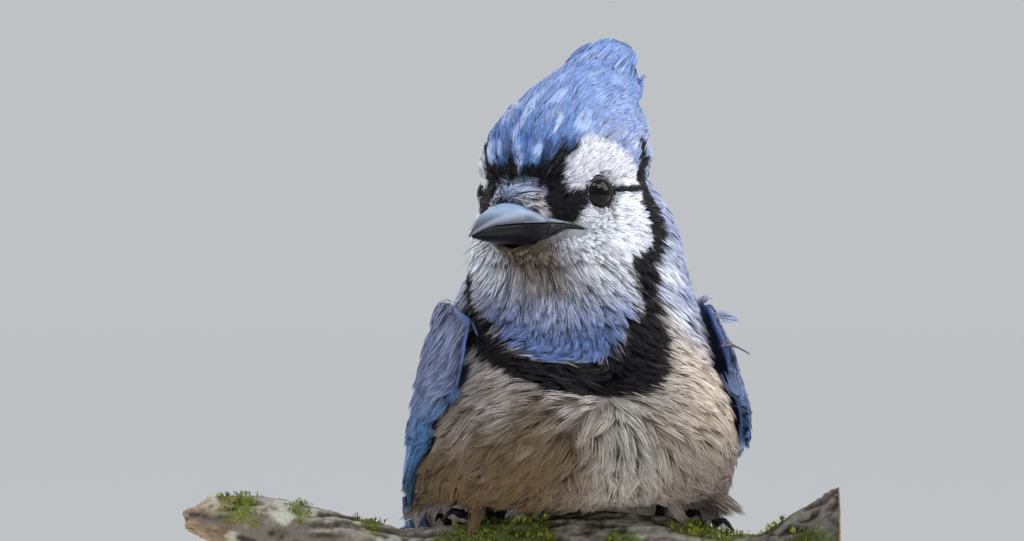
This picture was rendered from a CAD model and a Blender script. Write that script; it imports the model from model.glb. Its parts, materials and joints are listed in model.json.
"""A life-size blue jay on a cut branch, feathered over one skin, on its display stand.

Shapes are worked out in millimetres in the bird's own frame, with x to its left,
y to its back and z up from the top of the perch, and are placed in the row's
frame, in metres, when their mesh is made.
"""

import json
import logging
import math
from dataclasses import dataclass
from enum import Enum
from functools import cache

import bmesh
import bpy
import numpy as np
from mathutils import Matrix, Vector, kdtree, noise
from mathutils.bvhtree import BVHTree

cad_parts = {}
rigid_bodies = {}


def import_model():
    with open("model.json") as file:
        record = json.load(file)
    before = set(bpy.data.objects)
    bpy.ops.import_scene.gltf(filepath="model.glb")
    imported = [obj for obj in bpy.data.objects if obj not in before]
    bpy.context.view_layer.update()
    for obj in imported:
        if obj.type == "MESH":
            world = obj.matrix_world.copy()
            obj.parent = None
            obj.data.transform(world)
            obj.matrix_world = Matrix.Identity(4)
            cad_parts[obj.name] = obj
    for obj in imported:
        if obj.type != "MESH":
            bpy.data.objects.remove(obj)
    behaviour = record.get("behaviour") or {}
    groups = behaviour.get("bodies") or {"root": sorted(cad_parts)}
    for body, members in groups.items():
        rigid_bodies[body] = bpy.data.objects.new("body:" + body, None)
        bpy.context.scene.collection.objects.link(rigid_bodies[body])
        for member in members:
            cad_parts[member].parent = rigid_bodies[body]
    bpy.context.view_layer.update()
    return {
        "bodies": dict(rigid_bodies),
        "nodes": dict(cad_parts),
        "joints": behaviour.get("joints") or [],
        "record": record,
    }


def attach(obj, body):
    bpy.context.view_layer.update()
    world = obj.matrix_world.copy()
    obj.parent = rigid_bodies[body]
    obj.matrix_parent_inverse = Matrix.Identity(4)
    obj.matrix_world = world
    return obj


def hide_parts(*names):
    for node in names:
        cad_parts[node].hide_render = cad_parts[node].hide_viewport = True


LOG = logging.getLogger("blue_jay")
BODY = "root"
MM = 0.001
ROW_SHIFT = np.array((0.0, -14.0, 132.0))
PIVOT = np.array((0.9, 2.0, 0.0))
HEAD_YAW = math.radians(-27.0)
BODY_YAW = math.radians(11.0)
EYE_HEIGHT = 68.7
EYE_AHEAD = 15.0
EYE_PLACE = (0.3, 11.5, 0.0)
EYE_RADIUS = 3.9
EYE_TURN = math.radians(58.0)
PATCH = 0.003
TONE = "tone"
BAKE_MAP = "OFBake"
SKIN_SHADE = 0.45
BAR_BLACK = (16, 18, 26)
SIDES = ((1.0, "left"), (-1.0, "right"))
Array = np.ndarray
Colour = tuple[float, float, float]
Pairs = tuple[tuple[float, float], ...]


def rgb(red: int, green: int, blue: int) -> Array:
    """A screen colour as the shader's linear one."""
    value = np.array((red, green, blue), float) / 255.0
    return np.where(value <= 0.04045, value / 12.92, ((value + 0.055) / 1.055) ** 2.4)


def smooth(start: float, end: float, value: Array) -> Array:
    """0 before start, 1 after end, and an even curve between them."""
    t = np.clip((value - start) / (end - start), 0.0, 1.0)
    return t * t * (3.0 - 2.0 * t)


def mix(first: Array, second: Array, share: Array) -> Array:
    """Two colours, or rows of them, mixed row by row."""
    share = np.asarray(share)[..., None]
    return first * (1.0 - share) + second * share


def lookup(value: Array, pairs: Pairs) -> Array:
    """The value read off straight lines between the pairs of a place and what is there."""
    return np.interp(value, *np.array(pairs, float).T)


def unit(vectors: Array) -> Array:
    """The vectors at length one."""
    return vectors / np.maximum(np.linalg.norm(vectors, axis=-1, keepdims=True), 1e-9)


def dot(first: Array, second: Array) -> Array:
    """Row by row dot product, kept as a column."""
    return (first * second).sum(axis=-1, keepdims=True)


def turn(points: Array, yaw: float) -> Array:
    """The points turned round the neck's upright axis."""
    c, s = math.cos(yaw), math.sin(yaw)
    away = np.asarray(points, float) - PIVOT
    out = away.copy()
    out[..., 0] = c * away[..., 0] - s * away[..., 1]
    out[..., 1] = s * away[..., 0] + c * away[..., 1]
    return out + PIVOT


def head_place(ahead: Array, left: Array, up: Array) -> Array:
    """Places of the head's own frame in the bird's frame."""
    ahead, left, up = np.broadcast_arrays(*(np.asarray(v, float) for v in (ahead, left, up)))
    level = np.stack((PIVOT[0] + left, PIVOT[1] - EYE_AHEAD - ahead, EYE_HEIGHT + up), axis=-1)
    return turn(level, HEAD_YAW)


def head_frame(points: Array) -> tuple[Array, Array, Array]:
    """How far ahead of, left of and above the middle of the eyes the points are."""
    level = turn(points, -HEAD_YAW)
    return PIVOT[1] - EYE_AHEAD - level[..., 1], level[..., 0] - PIVOT[0], level[..., 2] - EYE_HEIGHT


def head_way(ahead: float, left: float, up: float) -> Array:
    """A direction of the head's own frame in the bird's frame."""
    return head_place(ahead, left, up) - head_place(0.0, 0.0, 0.0)


def tangent(ways: Array, normals: Array) -> Array:
    """The ways laid flat on the surface."""
    return unit(ways - normals * dot(ways, normals))


def to_row(points: Array) -> Array:
    """The bird's millimetres as the row's metres."""
    return (np.asarray(points, float) + ROW_SHIFT) * MM


def grain(points: Array, scale: float, seed: float = 0.0) -> Array:
    """Smooth noise about 0 at the points."""
    shift = Vector((seed, seed * 1.7, seed * 2.3))
    return np.array([noise.noise(Vector(p) * scale + shift) for p in points])


def mesh_arrays(mesh: bpy.types.Mesh) -> tuple[Array, Array, Array]:
    """Points in the bird's frame, normals and triangles of a mesh of the row's frame."""
    count = len(mesh.vertices)
    points, normals = np.empty(count * 3), np.empty(count * 3)
    mesh.vertices.foreach_get("co", points)
    mesh.vertices.foreach_get("normal", normals)
    mesh.calc_loop_triangles()
    triangles = np.empty(len(mesh.loop_triangles) * 3, np.int32)
    mesh.loop_triangles.foreach_get("vertices", triangles)
    return points.reshape(-1, 3) / MM - ROW_SHIFT, normals.reshape(-1, 3), triangles.reshape(-1, 3)


def surface_tree(*meshes: bpy.types.Mesh) -> BVHTree:
    """One search tree over all the meshes' faces, in the bird's frame."""
    points, triangles, first = [], [], 0
    for mesh in meshes:
        more, _, faces = mesh_arrays(mesh)
        points.append(more)
        triangles.append(faces + first)
        first += len(more)
    return BVHTree.FromPolygons(np.concatenate(points).tolist(), np.concatenate(triangles).tolist())


def merged(node: bpy.types.Object, swell: float = 0.0) -> bmesh.types.BMesh:
    """A CAD node's shape with its loose triangles joined up, and swollen by some millimetres."""
    bm = bmesh.new()
    bm.from_mesh(node.data)
    bmesh.ops.remove_doubles(bm, verts=bm.verts, dist=1e-6)
    bm.normal_update()
    for vert in bm.verts:
        vert.co += vert.normal * swell * MM
    return bm


def shown(name: str, mesh: bpy.types.Mesh, finish: "Finish") -> bpy.types.Object:
    """A shown piece with one finish and soft shading, which goes with the body.

    Args:
        name: The piece's name.
        mesh: Its shape, in the row's frame.
        finish: Its first or only finish.

    Returns:
        The piece.
    """
    if mesh.materials:
        mesh.materials.clear()
    mesh.materials.append(finish.make())
    mesh.shade_smooth()
    obj = bpy.data.objects.new(name, mesh)
    bpy.context.scene.collection.objects.link(obj)
    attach(obj, BODY)
    LOG.info("%s: %d faces", name, len(mesh.polygons))
    return obj


def from_bmesh(name: str, bm: bmesh.types.BMesh) -> bpy.types.Mesh:
    """The bmesh as a mesh, and the bmesh freed."""
    mesh = bpy.data.meshes.new(name)
    bm.to_mesh(mesh)
    bm.free()
    return mesh


def one_surface(name: str, bm: bmesh.types.BMesh, voxel: float, smoothing: int) -> bpy.types.Mesh:
    """Wraps a shape in one closed surface of small even faces.

    Args:
        name: The new mesh's name.
        bm: The shape, which is freed.
        voxel: The faces' size, in millimetres.
        smoothing: How many times the surface is evened out.

    Returns:
        The surface.
    """
    source = bpy.data.objects.new(name + "_source", from_bmesh(name + "_source", bm))
    bpy.context.scene.collection.objects.link(source)
    remesh = source.modifiers.new("one_surface", "REMESH")
    remesh.mode = "VOXEL"
    remesh.voxel_size = voxel * MM
    soften = source.modifiers.new("soften", "SMOOTH")
    soften.iterations = smoothing
    bpy.context.view_layer.update()
    graph = bpy.context.evaluated_depsgraph_get()
    mesh = bpy.data.meshes.new_from_object(source.evaluated_get(graph))
    mesh.name = name
    bpy.data.objects.remove(source)
    return mesh


def move_points(mesh: bpy.types.Mesh, points: Array) -> None:
    """Moves the mesh's points to new places in the bird's frame."""
    mesh.vertices.foreach_set("co", to_row(points).ravel())
    mesh.update()


def set_tone(mesh: bpy.types.Mesh, colours: Array) -> None:
    """Keeps a colour for each point of the mesh, or one colour for all."""
    layer = mesh.color_attributes.new(TONE, "FLOAT_COLOR", "POINT")
    full = np.ones((len(mesh.vertices), 4))
    full[:, :3] = colours
    layer.data.foreach_set("color", full.ravel())


def unwrap(obj: bpy.types.Object) -> None:
    """Unwraps a piece's own shape into its bake map."""
    obj.data.uv_layers.new(name=BAKE_MAP)
    bpy.context.view_layer.objects.active = obj
    for other in bpy.context.selected_objects:
        other.select_set(False)
    obj.select_set(True)
    bpy.ops.object.mode_set(mode="EDIT")
    bpy.ops.mesh.select_all(action="SELECT")
    bpy.ops.uv.smart_project(angle_limit=math.radians(66.0), island_margin=0.003)
    bpy.ops.object.mode_set(mode="OBJECT")
    obj.select_set(False)


class Grid(Enum):
    """How a shaped grid's far sides meet."""

    OPEN = "open"
    ROUND = "round"


def shaped_grid(columns: int, rows: int, places: Array, kind: Grid = Grid.OPEN) -> bmesh.types.BMesh:
    """A grid bent to the places given for it.

    Args:
        columns: Steps across.
        rows: Steps along.
        places: One place in the bird's frame for each row and column.
        kind: ROUND joins the first column to the last and fills the two ends.

    Returns:
        The bent grid, in the row's frame.
    """
    bm = bmesh.new()
    bmesh.ops.create_grid(bm, x_segments=columns, y_segments=rows, size=0.5)
    row_places = to_row(places)
    for vert in bm.verts:
        column = round((vert.co.x + 0.5) * columns)
        row = round((vert.co.y + 0.5) * rows)
        vert.co = row_places[row, column]
    if kind is Grid.ROUND:
        bmesh.ops.remove_doubles(bm, verts=bm.verts, dist=2e-6)
        bmesh.ops.holes_fill(bm, edges=bm.edges, sides=0)
        bmesh.ops.recalc_face_normals(bm, faces=bm.faces)
    return bm


Value = bpy.types.NodeSocket | float | tuple[float, ...]


class NodeSteps:
    """Adds steps to the nodes of a material or of a shared effect."""

    def __init__(self, tree: bpy.types.NodeTree) -> None:
        """Takes the tree that the steps go into."""
        self.nodes, self.links = tree.nodes, tree.links

    def feed(self, socket: bpy.types.NodeSocket, value: Value) -> None:
        """Links a socket to the one it reads, or sets its plain value."""
        if isinstance(value, bpy.types.NodeSocket):
            self.links.new(value, socket)
        else:
            socket.default_value = value

    def maths(self, kind: str, *values: Value) -> bpy.types.NodeSocket:
        """A maths step on sockets or plain numbers."""
        node = self.nodes.new("ShaderNodeMath")
        node.operation = kind
        for socket, value in zip(node.inputs, values):
            self.feed(socket, value)
        return node.outputs[0]

    def noise(self, place: Value, scale: Value) -> bpy.types.NodeSocket:
        """Smooth noise from 0 to 1."""
        node = self.nodes.new("ShaderNodeTexNoise")
        self.feed(node.inputs["Vector"], place)
        self.feed(node.inputs["Scale"], scale)
        return node.outputs["Fac"]

    def scaled(self, colour: Value, factor: Value) -> bpy.types.NodeSocket:
        """A colour made lighter or darker."""
        node = self.nodes.new("ShaderNodeVectorMath")
        node.operation = "SCALE"
        self.feed(node.inputs[0], colour)
        self.feed(node.inputs["Scale"], factor)
        return node.outputs[0]

    def blend(self, first: Value, second: Value, share: Value) -> bpy.types.NodeSocket:
        """Two colours mixed by a mask."""
        node = self.nodes.new("ShaderNodeMix")
        node.data_type = "RGBA"
        for place, value in ((0, share), (6, first), (7, second)):
            self.feed(node.inputs[place], value)
        return node.outputs[2]

    def step(self, value: Value, start: float, end: float) -> bpy.types.NodeSocket:
        """A mask that goes from 0 at start to 1 at end."""
        node = self.nodes.new("ShaderNodeMapRange")
        node.interpolation_type = "SMOOTHSTEP"
        ends = (("From Min", min(start, end)), ("From Max", max(start, end)),
                ("To Min", float(start > end)), ("To Max", float(start < end)), ("Value", value))
        for label, given in ends:
            self.feed(node.inputs[label], given)
        return node.outputs["Result"]

    def effect(self, kind: type["SharedEffect"], given: dict[str, Value]) -> bpy.types.NodeOutputs:
        """Places a shared effect with its own values."""
        node = self.nodes.new("ShaderNodeGroup")
        node.node_tree = kind.tree()
        for label, value in given.items():
            self.feed(node.inputs[label], value)
        return node.outputs

    def relief(self, shader: bpy.types.Node, height: Value, depth: float) -> None:
        """Gives a shader relief, with its depth in millimetres."""
        bump = self.nodes.new("ShaderNodeBump")
        self.feed(bump.inputs["Distance"], depth * MM)
        self.feed(bump.inputs["Height"], height)
        self.feed(shader.inputs["Normal"], bump.outputs["Normal"])


class SharedEffect:
    """A node group that more than one finish uses, built once."""

    name: str
    colours: tuple[str, ...]
    values: tuple[str, ...]

    @classmethod
    def tree(cls) -> bpy.types.NodeTree:
        """The group, with the colours and values in, and Color and Height out."""
        if cls.name in bpy.data.node_groups:
            return bpy.data.node_groups[cls.name]
        tree = bpy.data.node_groups.new(cls.name, "ShaderNodeTree")
        for labels, kind in ((cls.colours, "NodeSocketColor"), (cls.values, "NodeSocketFloat")):
            for label in labels:
                tree.interface.new_socket(label, in_out="INPUT", socket_type=kind)
        tree.interface.new_socket("Color", in_out="OUTPUT", socket_type="NodeSocketColor")
        tree.interface.new_socket("Height", in_out="OUTPUT", socket_type="NodeSocketFloat")
        given, out = tree.nodes.new("NodeGroupInput"), tree.nodes.new("NodeGroupOutput")
        colour, height = cls.draw(NodeSteps(tree), given.outputs)
        tree.links.new(colour, out.inputs["Color"])
        tree.links.new(height, out.inputs["Height"])
        return tree

    @staticmethod
    def draw(steps: NodeSteps, given: bpy.types.NodeOutputs) -> tuple[Value, Value]:
        """Each effect's own steps, from what it is given to its colour and height."""
        raise NotImplementedError


class FineGrain(SharedEffect):
    """Specks that break up an even colour."""

    name = "fine_grain"
    colours = ("Color",)
    values = ("Scale", "Depth")

    @staticmethod
    def draw(steps: NodeSteps, given: bpy.types.NodeOutputs) -> tuple[Value, Value]:
        """Noise about the colour given."""
        place = steps.nodes.new("ShaderNodeTexCoord").outputs["Object"]
        speck = steps.noise(place, given["Scale"])
        light = steps.maths("MULTIPLY_ADD", steps.maths("SUBTRACT", speck, 0.5), given["Depth"], 1.0)
        return steps.scaled(given["Color"], light), speck


def blank_material(name: str, roughness: float, specular: float) -> tuple[bpy.types.Material, bpy.types.Node]:
    """A new material and its shader."""
    material = bpy.data.materials.new(name)
    material.use_nodes = True
    shader = material.node_tree.nodes["Principled BSDF"]
    shader.inputs["Roughness"].default_value = roughness
    shader.inputs["Specular IOR Level"].default_value = specular
    return material, shader


@dataclass(frozen=True)
class Finish:
    """A finish with fine grain in it, in its own colour or in the tone kept on the mesh."""

    name: str
    roughness: float
    specular: float
    colour: Colour | None = None
    metallic: float = 0.0
    coat: float = 0.0
    grain_scale: float = 900.0
    grain_depth: float = 0.12
    relief: float = 0.0

    @cache
    def make(self) -> bpy.types.Material:
        """Builds the material once.

        Returns:
            The material.
        """
        material, shader = blank_material(self.name, self.roughness, self.specular)
        shader.inputs["Metallic"].default_value = self.metallic
        shader.inputs["Coat Weight"].default_value = self.coat
        steps = NodeSteps(material.node_tree)
        if self.colour is None:
            tone = steps.nodes.new("ShaderNodeAttribute")
            tone.attribute_name = TONE
            colour = tone.outputs["Color"]
        else:
            colour = (*rgb(*self.colour), 1.0)
        given = {"Color": colour, "Scale": self.grain_scale, "Depth": self.grain_depth}
        grained = steps.effect(FineGrain, given)
        steps.feed(shader.inputs["Base Color"], grained["Color"])
        if self.relief > 0.0:
            steps.relief(shader, grained["Height"], self.relief)
        return material


PLUMAGE = Finish("plumage", roughness=0.62, specular=0.2, grain_depth=0.25)


class Markings:
    """Where each colour of the plumage lies, on skin and coat alike.

    The head and throat are mapped by the angle round the head's upright axis,
    in degrees from straight ahead, and by height over the eyes.
    """

    axis_behind = 12.0
    mm_per_degree = 0.32
    brow = ((26, 1), (24, 3.5), (26, 6.1), (28, 7.9), (32, 9.4), (34, 11.1), (40, 12.2), (46, 11.6),
            (54, 10.6), (62, 9.8), (70, 8.6), (80, 7.1), (86, 5.2), (91, 3.1), (79, 1.9), (66, 1.9),
            (57, 2.7), (50, 3.3), (39, 2.6), (32, 1.0))
    lores = ((-1, 6.2), (7, 6.0), (11, 4.6), (15, 4.8), (18, 6.9), (21, 9.3), (25, 9.2), (24.5, 6),
             (24, 3.5), (26.5, 1.2), (37, 1.2), (38, -2.0), (33, -4.2), (29, -6.2), (20, -6.6),
             (12, -5.0), (-1, -5.0))
    nose = ((-1, 3.2), (5, 3.6), (10, 3.2), (14, 1.2), (16, -2.1), (17, -4.6), (-1, -5.5))
    crown_floor = ((0, 6.2), (6, 6.0), (11, 4.8), (15, 5.0), (18, 6.9), (21, 9.0), (26, 9.2), (30, 10.2),
                   (34, 11.8), (40, 12.6), (46, 12.0), (54, 11.0), (62, 10.2), (70, 9.0), (80, 7.5),
                   (86, 5.8), (91, 4.0), (95, 5.5), (99, 9.4), (106, 12.0), (118, 12.0), (180, 10.0))
    collar_inside = ((-50, -130), (-40, -40), (-36.4, 0), (-35, 12), (-33, 22), (-30, 30), (-26.3, 41),
                     (-23.1, 50), (-20, 55), (-16.8, 57), (-13.3, 63), (-11.2, 83), (-8.4, 88),
                     (-5.3, 89), (-2.1, 87), (1, 90), (5.2, 93), (9.4, 99), (14, 108))
    collar_outside = ((-50, -130), (-45, -40), (-42.5, 0), (-42, 8), (-41, 17), (-38.5, 28), (-35.7, 36),
                      (-33, 45), (-30.5, 53), (-27.3, 57), (-22, 64), (-17.9, 76), (-14.7, 84),
                      (-11.6, 97), (-8.4, 106), (-3.2, 117), (3, 120), (9.4, 117), (14, 108))

    white = rgb(226, 228, 238)
    cheek = rgb(222, 226, 236)
    chin = rgb(104, 88, 62)
    throat = rgb(186, 186, 198)
    lavender = rgb(164, 174, 206)
    throat_blue = rgb(86, 112, 166)
    black = rgb(13, 13, 18)
    crown = rgb(118, 146, 200)
    crest = rgb(124, 150, 202)
    forehead = rgb(80, 124, 192)
    pale_blue = rgb(182, 203, 240)
    nape = rgb(164, 174, 204)
    breast = rgb(172, 166, 163)
    warm = rgb(216, 202, 188)
    belly = rgb(102, 84, 60)
    middle = rgb(168, 164, 156)
    mantle = rgb(104, 122, 176)
    vent = rgb(214, 212, 210)
    nose_blue = rgb(150, 166, 196)
    nose_pale = rgb(214, 208, 214)

    @staticmethod
    def within(x: Array, y: Array, outline: Pairs) -> Array:
        """How far inside a closed outline the places are, in millimetres.

        Args:
            x: Angles round the head, in degrees.
            y: Heights over the eyes.
            outline: The outline's corners as angle and height.

        Returns:
            Distances, positive inside.
        """
        corners = np.array(outline, float)
        corners[:, 0] *= Markings.mm_per_degree
        px, py = x * Markings.mm_per_degree, y
        inside = np.zeros(px.shape, bool)
        nearest = np.full(px.shape, 1e9)
        for (ax, ay), (bx, by) in zip(corners, np.roll(corners, -1, axis=0)):
            crosses = (ay > py) != (by > py)
            if ay != by:
                inside ^= crosses & (px < (bx - ax) * (py - ay) / (by - ay) + ax)
            length = (bx - ax) ** 2 + (by - ay) ** 2
            t = np.clip(((px - ax) * (bx - ax) + (py - ay) * (by - ay)) / length, 0.0, 1.0)
            nearest = np.minimum(nearest, np.hypot(px - ax - t * (bx - ax), py - ay - t * (by - ay)))
        return np.where(inside, nearest, -nearest)

    def chart(self, points: Array) -> tuple[Array, Array]:
        """Angle round the head, folded to one side, and height over the eyes.

        The throat's middle line swings from the head's to the body's as it goes down.
        """
        ahead, left, up = head_frame(points)
        angle = np.degrees(np.arctan2(left, ahead + self.axis_behind))
        swing = 18.0 * smooth(8.0, 28.0, -up)
        side = np.abs(angle - swing)
        level = turn(points, -BODY_YAW)
        body_side = np.degrees(np.arctan2(np.abs(level[:, 0] - PIVOT[0]), 4.0 - level[:, 1]))
        low = smooth(26.0, 44.0, -up)
        return side * (1.0 - low) + body_side * low, up

    def edges(self, side: Array, up: Array) -> dict[str, Array]:
        """How far inside each marking the places are, in millimetres."""
        inside, outside = lookup(up, self.collar_inside), lookup(up, self.collar_outside)
        scale = self.mm_per_degree
        collar = np.minimum((side - inside) * scale, (outside - side) * scale)
        return {
            "collar": collar - np.maximum(up - 11.0, 0.0),
            "face": (inside - side) * scale,
            "crown": up - lookup(side, self.crown_floor),
            "brow": self.within(side, up, self.brow),
            "lores": self.within(side, up, self.lores),
            "nose": self.within(side, up, self.nose),
        }

    def colours(self, points: Array, normals: Array, jitter: Array) -> Array:
        """The plumage's colour at the points.

        Args:
            points: Places in the bird's frame.
            normals: The skin's outward ways there.
            jitter: Millimetres by which each place's marking edges are moved.

        Returns:
            Linear colours, one row for each point.
        """
        side, up = self.chart(points)
        edge = self.edges(side, up)
        ahead, left, _ = head_frame(points)
        patchy = grain(points, 0.16)
        fine = grain(points, 0.42, 7.0)
        streak = grain(np.stack((left * 0.42, ahead * 0.15, up * 0.15), axis=1), 1.0, 3.0)
        ragged = (streak * 3.0 + fine * 1.2 - 0.5) * smooth(34.0, 26.0, side)
        colour = self.body_colours(points, normals, patchy)
        colour = mix(colour, self.face_colours(side, up, patchy), smooth(-0.6, 0.6, edge["face"] + jitter))
        colour = mix(colour, self.black, smooth(-1.6, -0.6, edge["crown"]) * smooth(36.0, 31.0, side))
        top = smooth(-0.7, 0.7, edge["crown"] + jitter * 1.5 + ragged)
        colour = mix(colour, self.top_colours(side, up, streak, fine), top)
        colour = mix(colour, self.black, smooth(-0.5, 0.5, edge["collar"] + jitter))
        colour = mix(colour, self.white, smooth(-0.5, 0.5, edge["brow"] + jitter))
        lores = edge["lores"] + jitter * 0.7 - np.maximum(ragged, 0.0) * 0.7
        colour = mix(colour, self.black, smooth(-0.4, 0.4, lores))
        line = smooth(1.0, 0.5, np.abs(up - 1.2 + jitter * 0.3))
        colour = mix(colour, self.black, line * smooth(50.0, 56.0, side) * smooth(94.0, 90.0, side))
        pale = smooth(1.0, 4.5, np.abs(left)) * smooth(2.5, -2.0, up)
        nose = mix(self.nose_blue, self.nose_pale, pale)
        return mix(colour, nose, smooth(-0.5, 0.5, edge["nose"] + jitter * 0.6))

    def body_colours(self, points: Array, normals: Array, patchy: Array) -> Array:
        """The colours of breast, belly, neck and back."""
        side, up = self.chart(points)
        level = turn(points, -BODY_YAW)
        left, back, high = level[:, 0] - PIVOT[0], level[:, 1], points[:, 2]
        colour = mix(self.breast, self.warm, smooth(6.0, 26.0, left) * smooth(8.0, 22.0, high))
        low = smooth(34.0, 12.0, high + patchy * 10.0)
        colour = mix(colour, self.belly, low * (0.6 + 0.4 * smooth(6.0, -16.0, left)))
        centre = smooth(11.0, 3.0, np.abs(level[:, 0] - 5.0 - patchy * 4.0)) * smooth(40.0, 28.0, high)
        colour = mix(colour, self.middle, centre * smooth(-10.0, -30.0, back) * 0.8)
        under = smooth(0.15, -0.25, normals[:, 2]) * smooth(8.0, 24.0, back)
        colour = mix(colour, self.vent, under)
        neck = smooth(-44.0, -24.0, up) * smooth(50.0, 75.0, side)
        colour = mix(colour, mix(self.nape, self.cheek, np.clip(0.5 + patchy, 0.0, 1.0)), neck)
        upward = smooth(-0.2, 0.1, normals[:, 2] + (high > 20.0))
        behind = smooth(104.0, 114.0, side) * (1.0 - under) * upward
        return mix(colour, mix(self.mantle, self.nape, smooth(-40.0, -12.0, up)), behind)

    def face_colours(self, side: Array, up: Array, patchy: Array) -> Array:
        """The colours of cheek, chin and throat."""
        clear = smooth(18.0, 36.0, side + patchy * 8.0) * smooth(-34.0, -20.0, up)
        colour = mix(self.throat, self.cheek, clear)
        chin = smooth(26.0, 10.0, side) * smooth(-6.0, -10.0, up) * smooth(-27.0, -15.0, up)
        colour = mix(colour, self.chin, chin * 0.9)
        lavender = smooth(-19.0, -27.0, up - side * 0.05) * smooth(60.0, 40.0, side)
        colour = mix(colour, self.lavender, lavender)
        low = smooth(-25.0, -32.0, up - side * 0.08) * smooth(56.0, 34.0, side)
        return mix(colour, self.throat_blue, low * 0.9)

    def top_colours(self, side: Array, up: Array, streak: Array, fine: Array) -> Array:
        """The colours of forehead, crown and crest, with pale clumps and dark gaps."""
        colour = mix(self.crown, self.crest, smooth(8.0, 20.0, up))
        front = smooth(20.0, 10.0, up) * smooth(40.0, 26.0, side) * 0.85
        colour = mix(colour, self.forehead, front * np.clip(0.75 + fine, 0.0, 1.0))
        clumps = smooth(0.0, 0.26, streak) * smooth(26.0, 13.0, up) * smooth(52.0, 30.0, side)
        colour = mix(colour, self.pale_blue, clumps * 0.95)
        colour = mix(colour, self.pale_blue, smooth(0.05, 0.4, streak) * smooth(12.0, 22.0, up) * 0.35)
        gaps = smooth(0.0, -0.25, streak) * smooth(14.0, 8.0, up) * smooth(34.0, 26.0, side)
        colour = mix(colour, self.black, gaps * 0.9)
        rear = smooth(34.0, 60.0, side) * smooth(22.0, 12.0, up)
        return mix(colour, self.nape, rear * np.clip(0.6 + fine, 0.0, 1.0))


class Ground:
    """A closed surface that tufts grow from and lie on."""

    def __init__(self, rooted: bpy.types.Mesh, *lain_on: bpy.types.Mesh) -> None:
        """Takes the rooted mesh, with its bake map, and others that tufts may lie on."""
        self.points, self.normals, self.triangles = mesh_arrays(rooted)
        loops = np.empty(len(rooted.loop_triangles) * 3, np.int32)
        rooted.loop_triangles.foreach_get("loops", loops)
        uv = np.empty(len(rooted.loops) * 2)
        rooted.uv_layers[BAKE_MAP].data.foreach_get("uv", uv)
        self.corner_uv = uv.reshape(-1, 2)[loops].reshape(-1, 3, 2)
        self.tree = surface_tree(rooted, *lain_on)

    def faces(self) -> tuple[Array, Array]:
        """The middles of the rooted mesh's faces and the ways they face."""
        middles = self.points[self.triangles].mean(axis=1)
        return middles, unit(self.normals[self.triangles].mean(axis=1))

    def lie(self, points: Array) -> tuple[Array, Array]:
        """The nearest places on the surface and the ways it faces there."""
        places, ways = np.empty_like(points), np.empty_like(points)
        for i, point in enumerate(points):
            place, way, _, _ = self.tree.find_nearest(point)
            places[i], ways[i] = place, way
        return places, ways

    def scatter(self, spacing: Array, rng: np.random.Generator) -> tuple[Array, Array, Array]:
        """Roots spread evenly over the surface.

        Args:
            spacing: The distance wanted between roots at each triangle, 0 for none.
            rng: Where the chance comes from.

        Returns:
            Places, normals and bake map places of the roots.
        """
        corners = self.points[self.triangles]
        sides = corners[:, 1:] - corners[:, :1]
        area = np.linalg.norm(np.cross(sides[:, 0], sides[:, 1]), axis=1) / 2.0
        wanted = np.where(spacing > 0.0, area / np.maximum(spacing, 0.1) ** 2, 0.0)
        count = int(wanted.sum() * 2.6)
        face = rng.choice(len(wanted), count, p=wanted / wanted.sum())
        a, b = rng.random(count), rng.random(count)
        over = a + b > 1.0
        a[over], b[over] = 1.0 - a[over], 1.0 - b[over]
        weight = np.stack((1.0 - a - b, a, b), axis=1)[..., None]
        places = (corners[face] * weight).sum(axis=1)
        tree = kdtree.KDTree(count)
        for i, place in enumerate(places):
            tree.insert(place, i)
        tree.balance()
        kept = np.zeros(count, bool)
        for i, place in enumerate(places):
            near = tree.find_range(place, spacing[face[i]] * 0.84)
            kept[i] = not any(kept[j] for _, j, _ in near)
        normals = unit((self.normals[self.triangles[face]] * weight).sum(axis=1))
        uv = (self.corner_uv[face] * weight).sum(axis=1)
        return places[kept], normals[kept], uv[kept]


@dataclass(frozen=True)
class Coat:
    """One piece of the plumage: how its feathers are sized and drawn."""

    name: str
    spacing: float
    length: float
    depth: float
    half_width: float
    barb: float
    triangles: int
    steps: int = 3
    point: float = 0.55
    wave: float = 0.12
    loose: float = 8.0
    lift: float = 0.25
    root_shade: float = 0.5
    dark_share: float = 0.08
    spread: float = 0.16
    even: float = 0.5
    rounding: float = 0.12
    flat: bool = False


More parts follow.
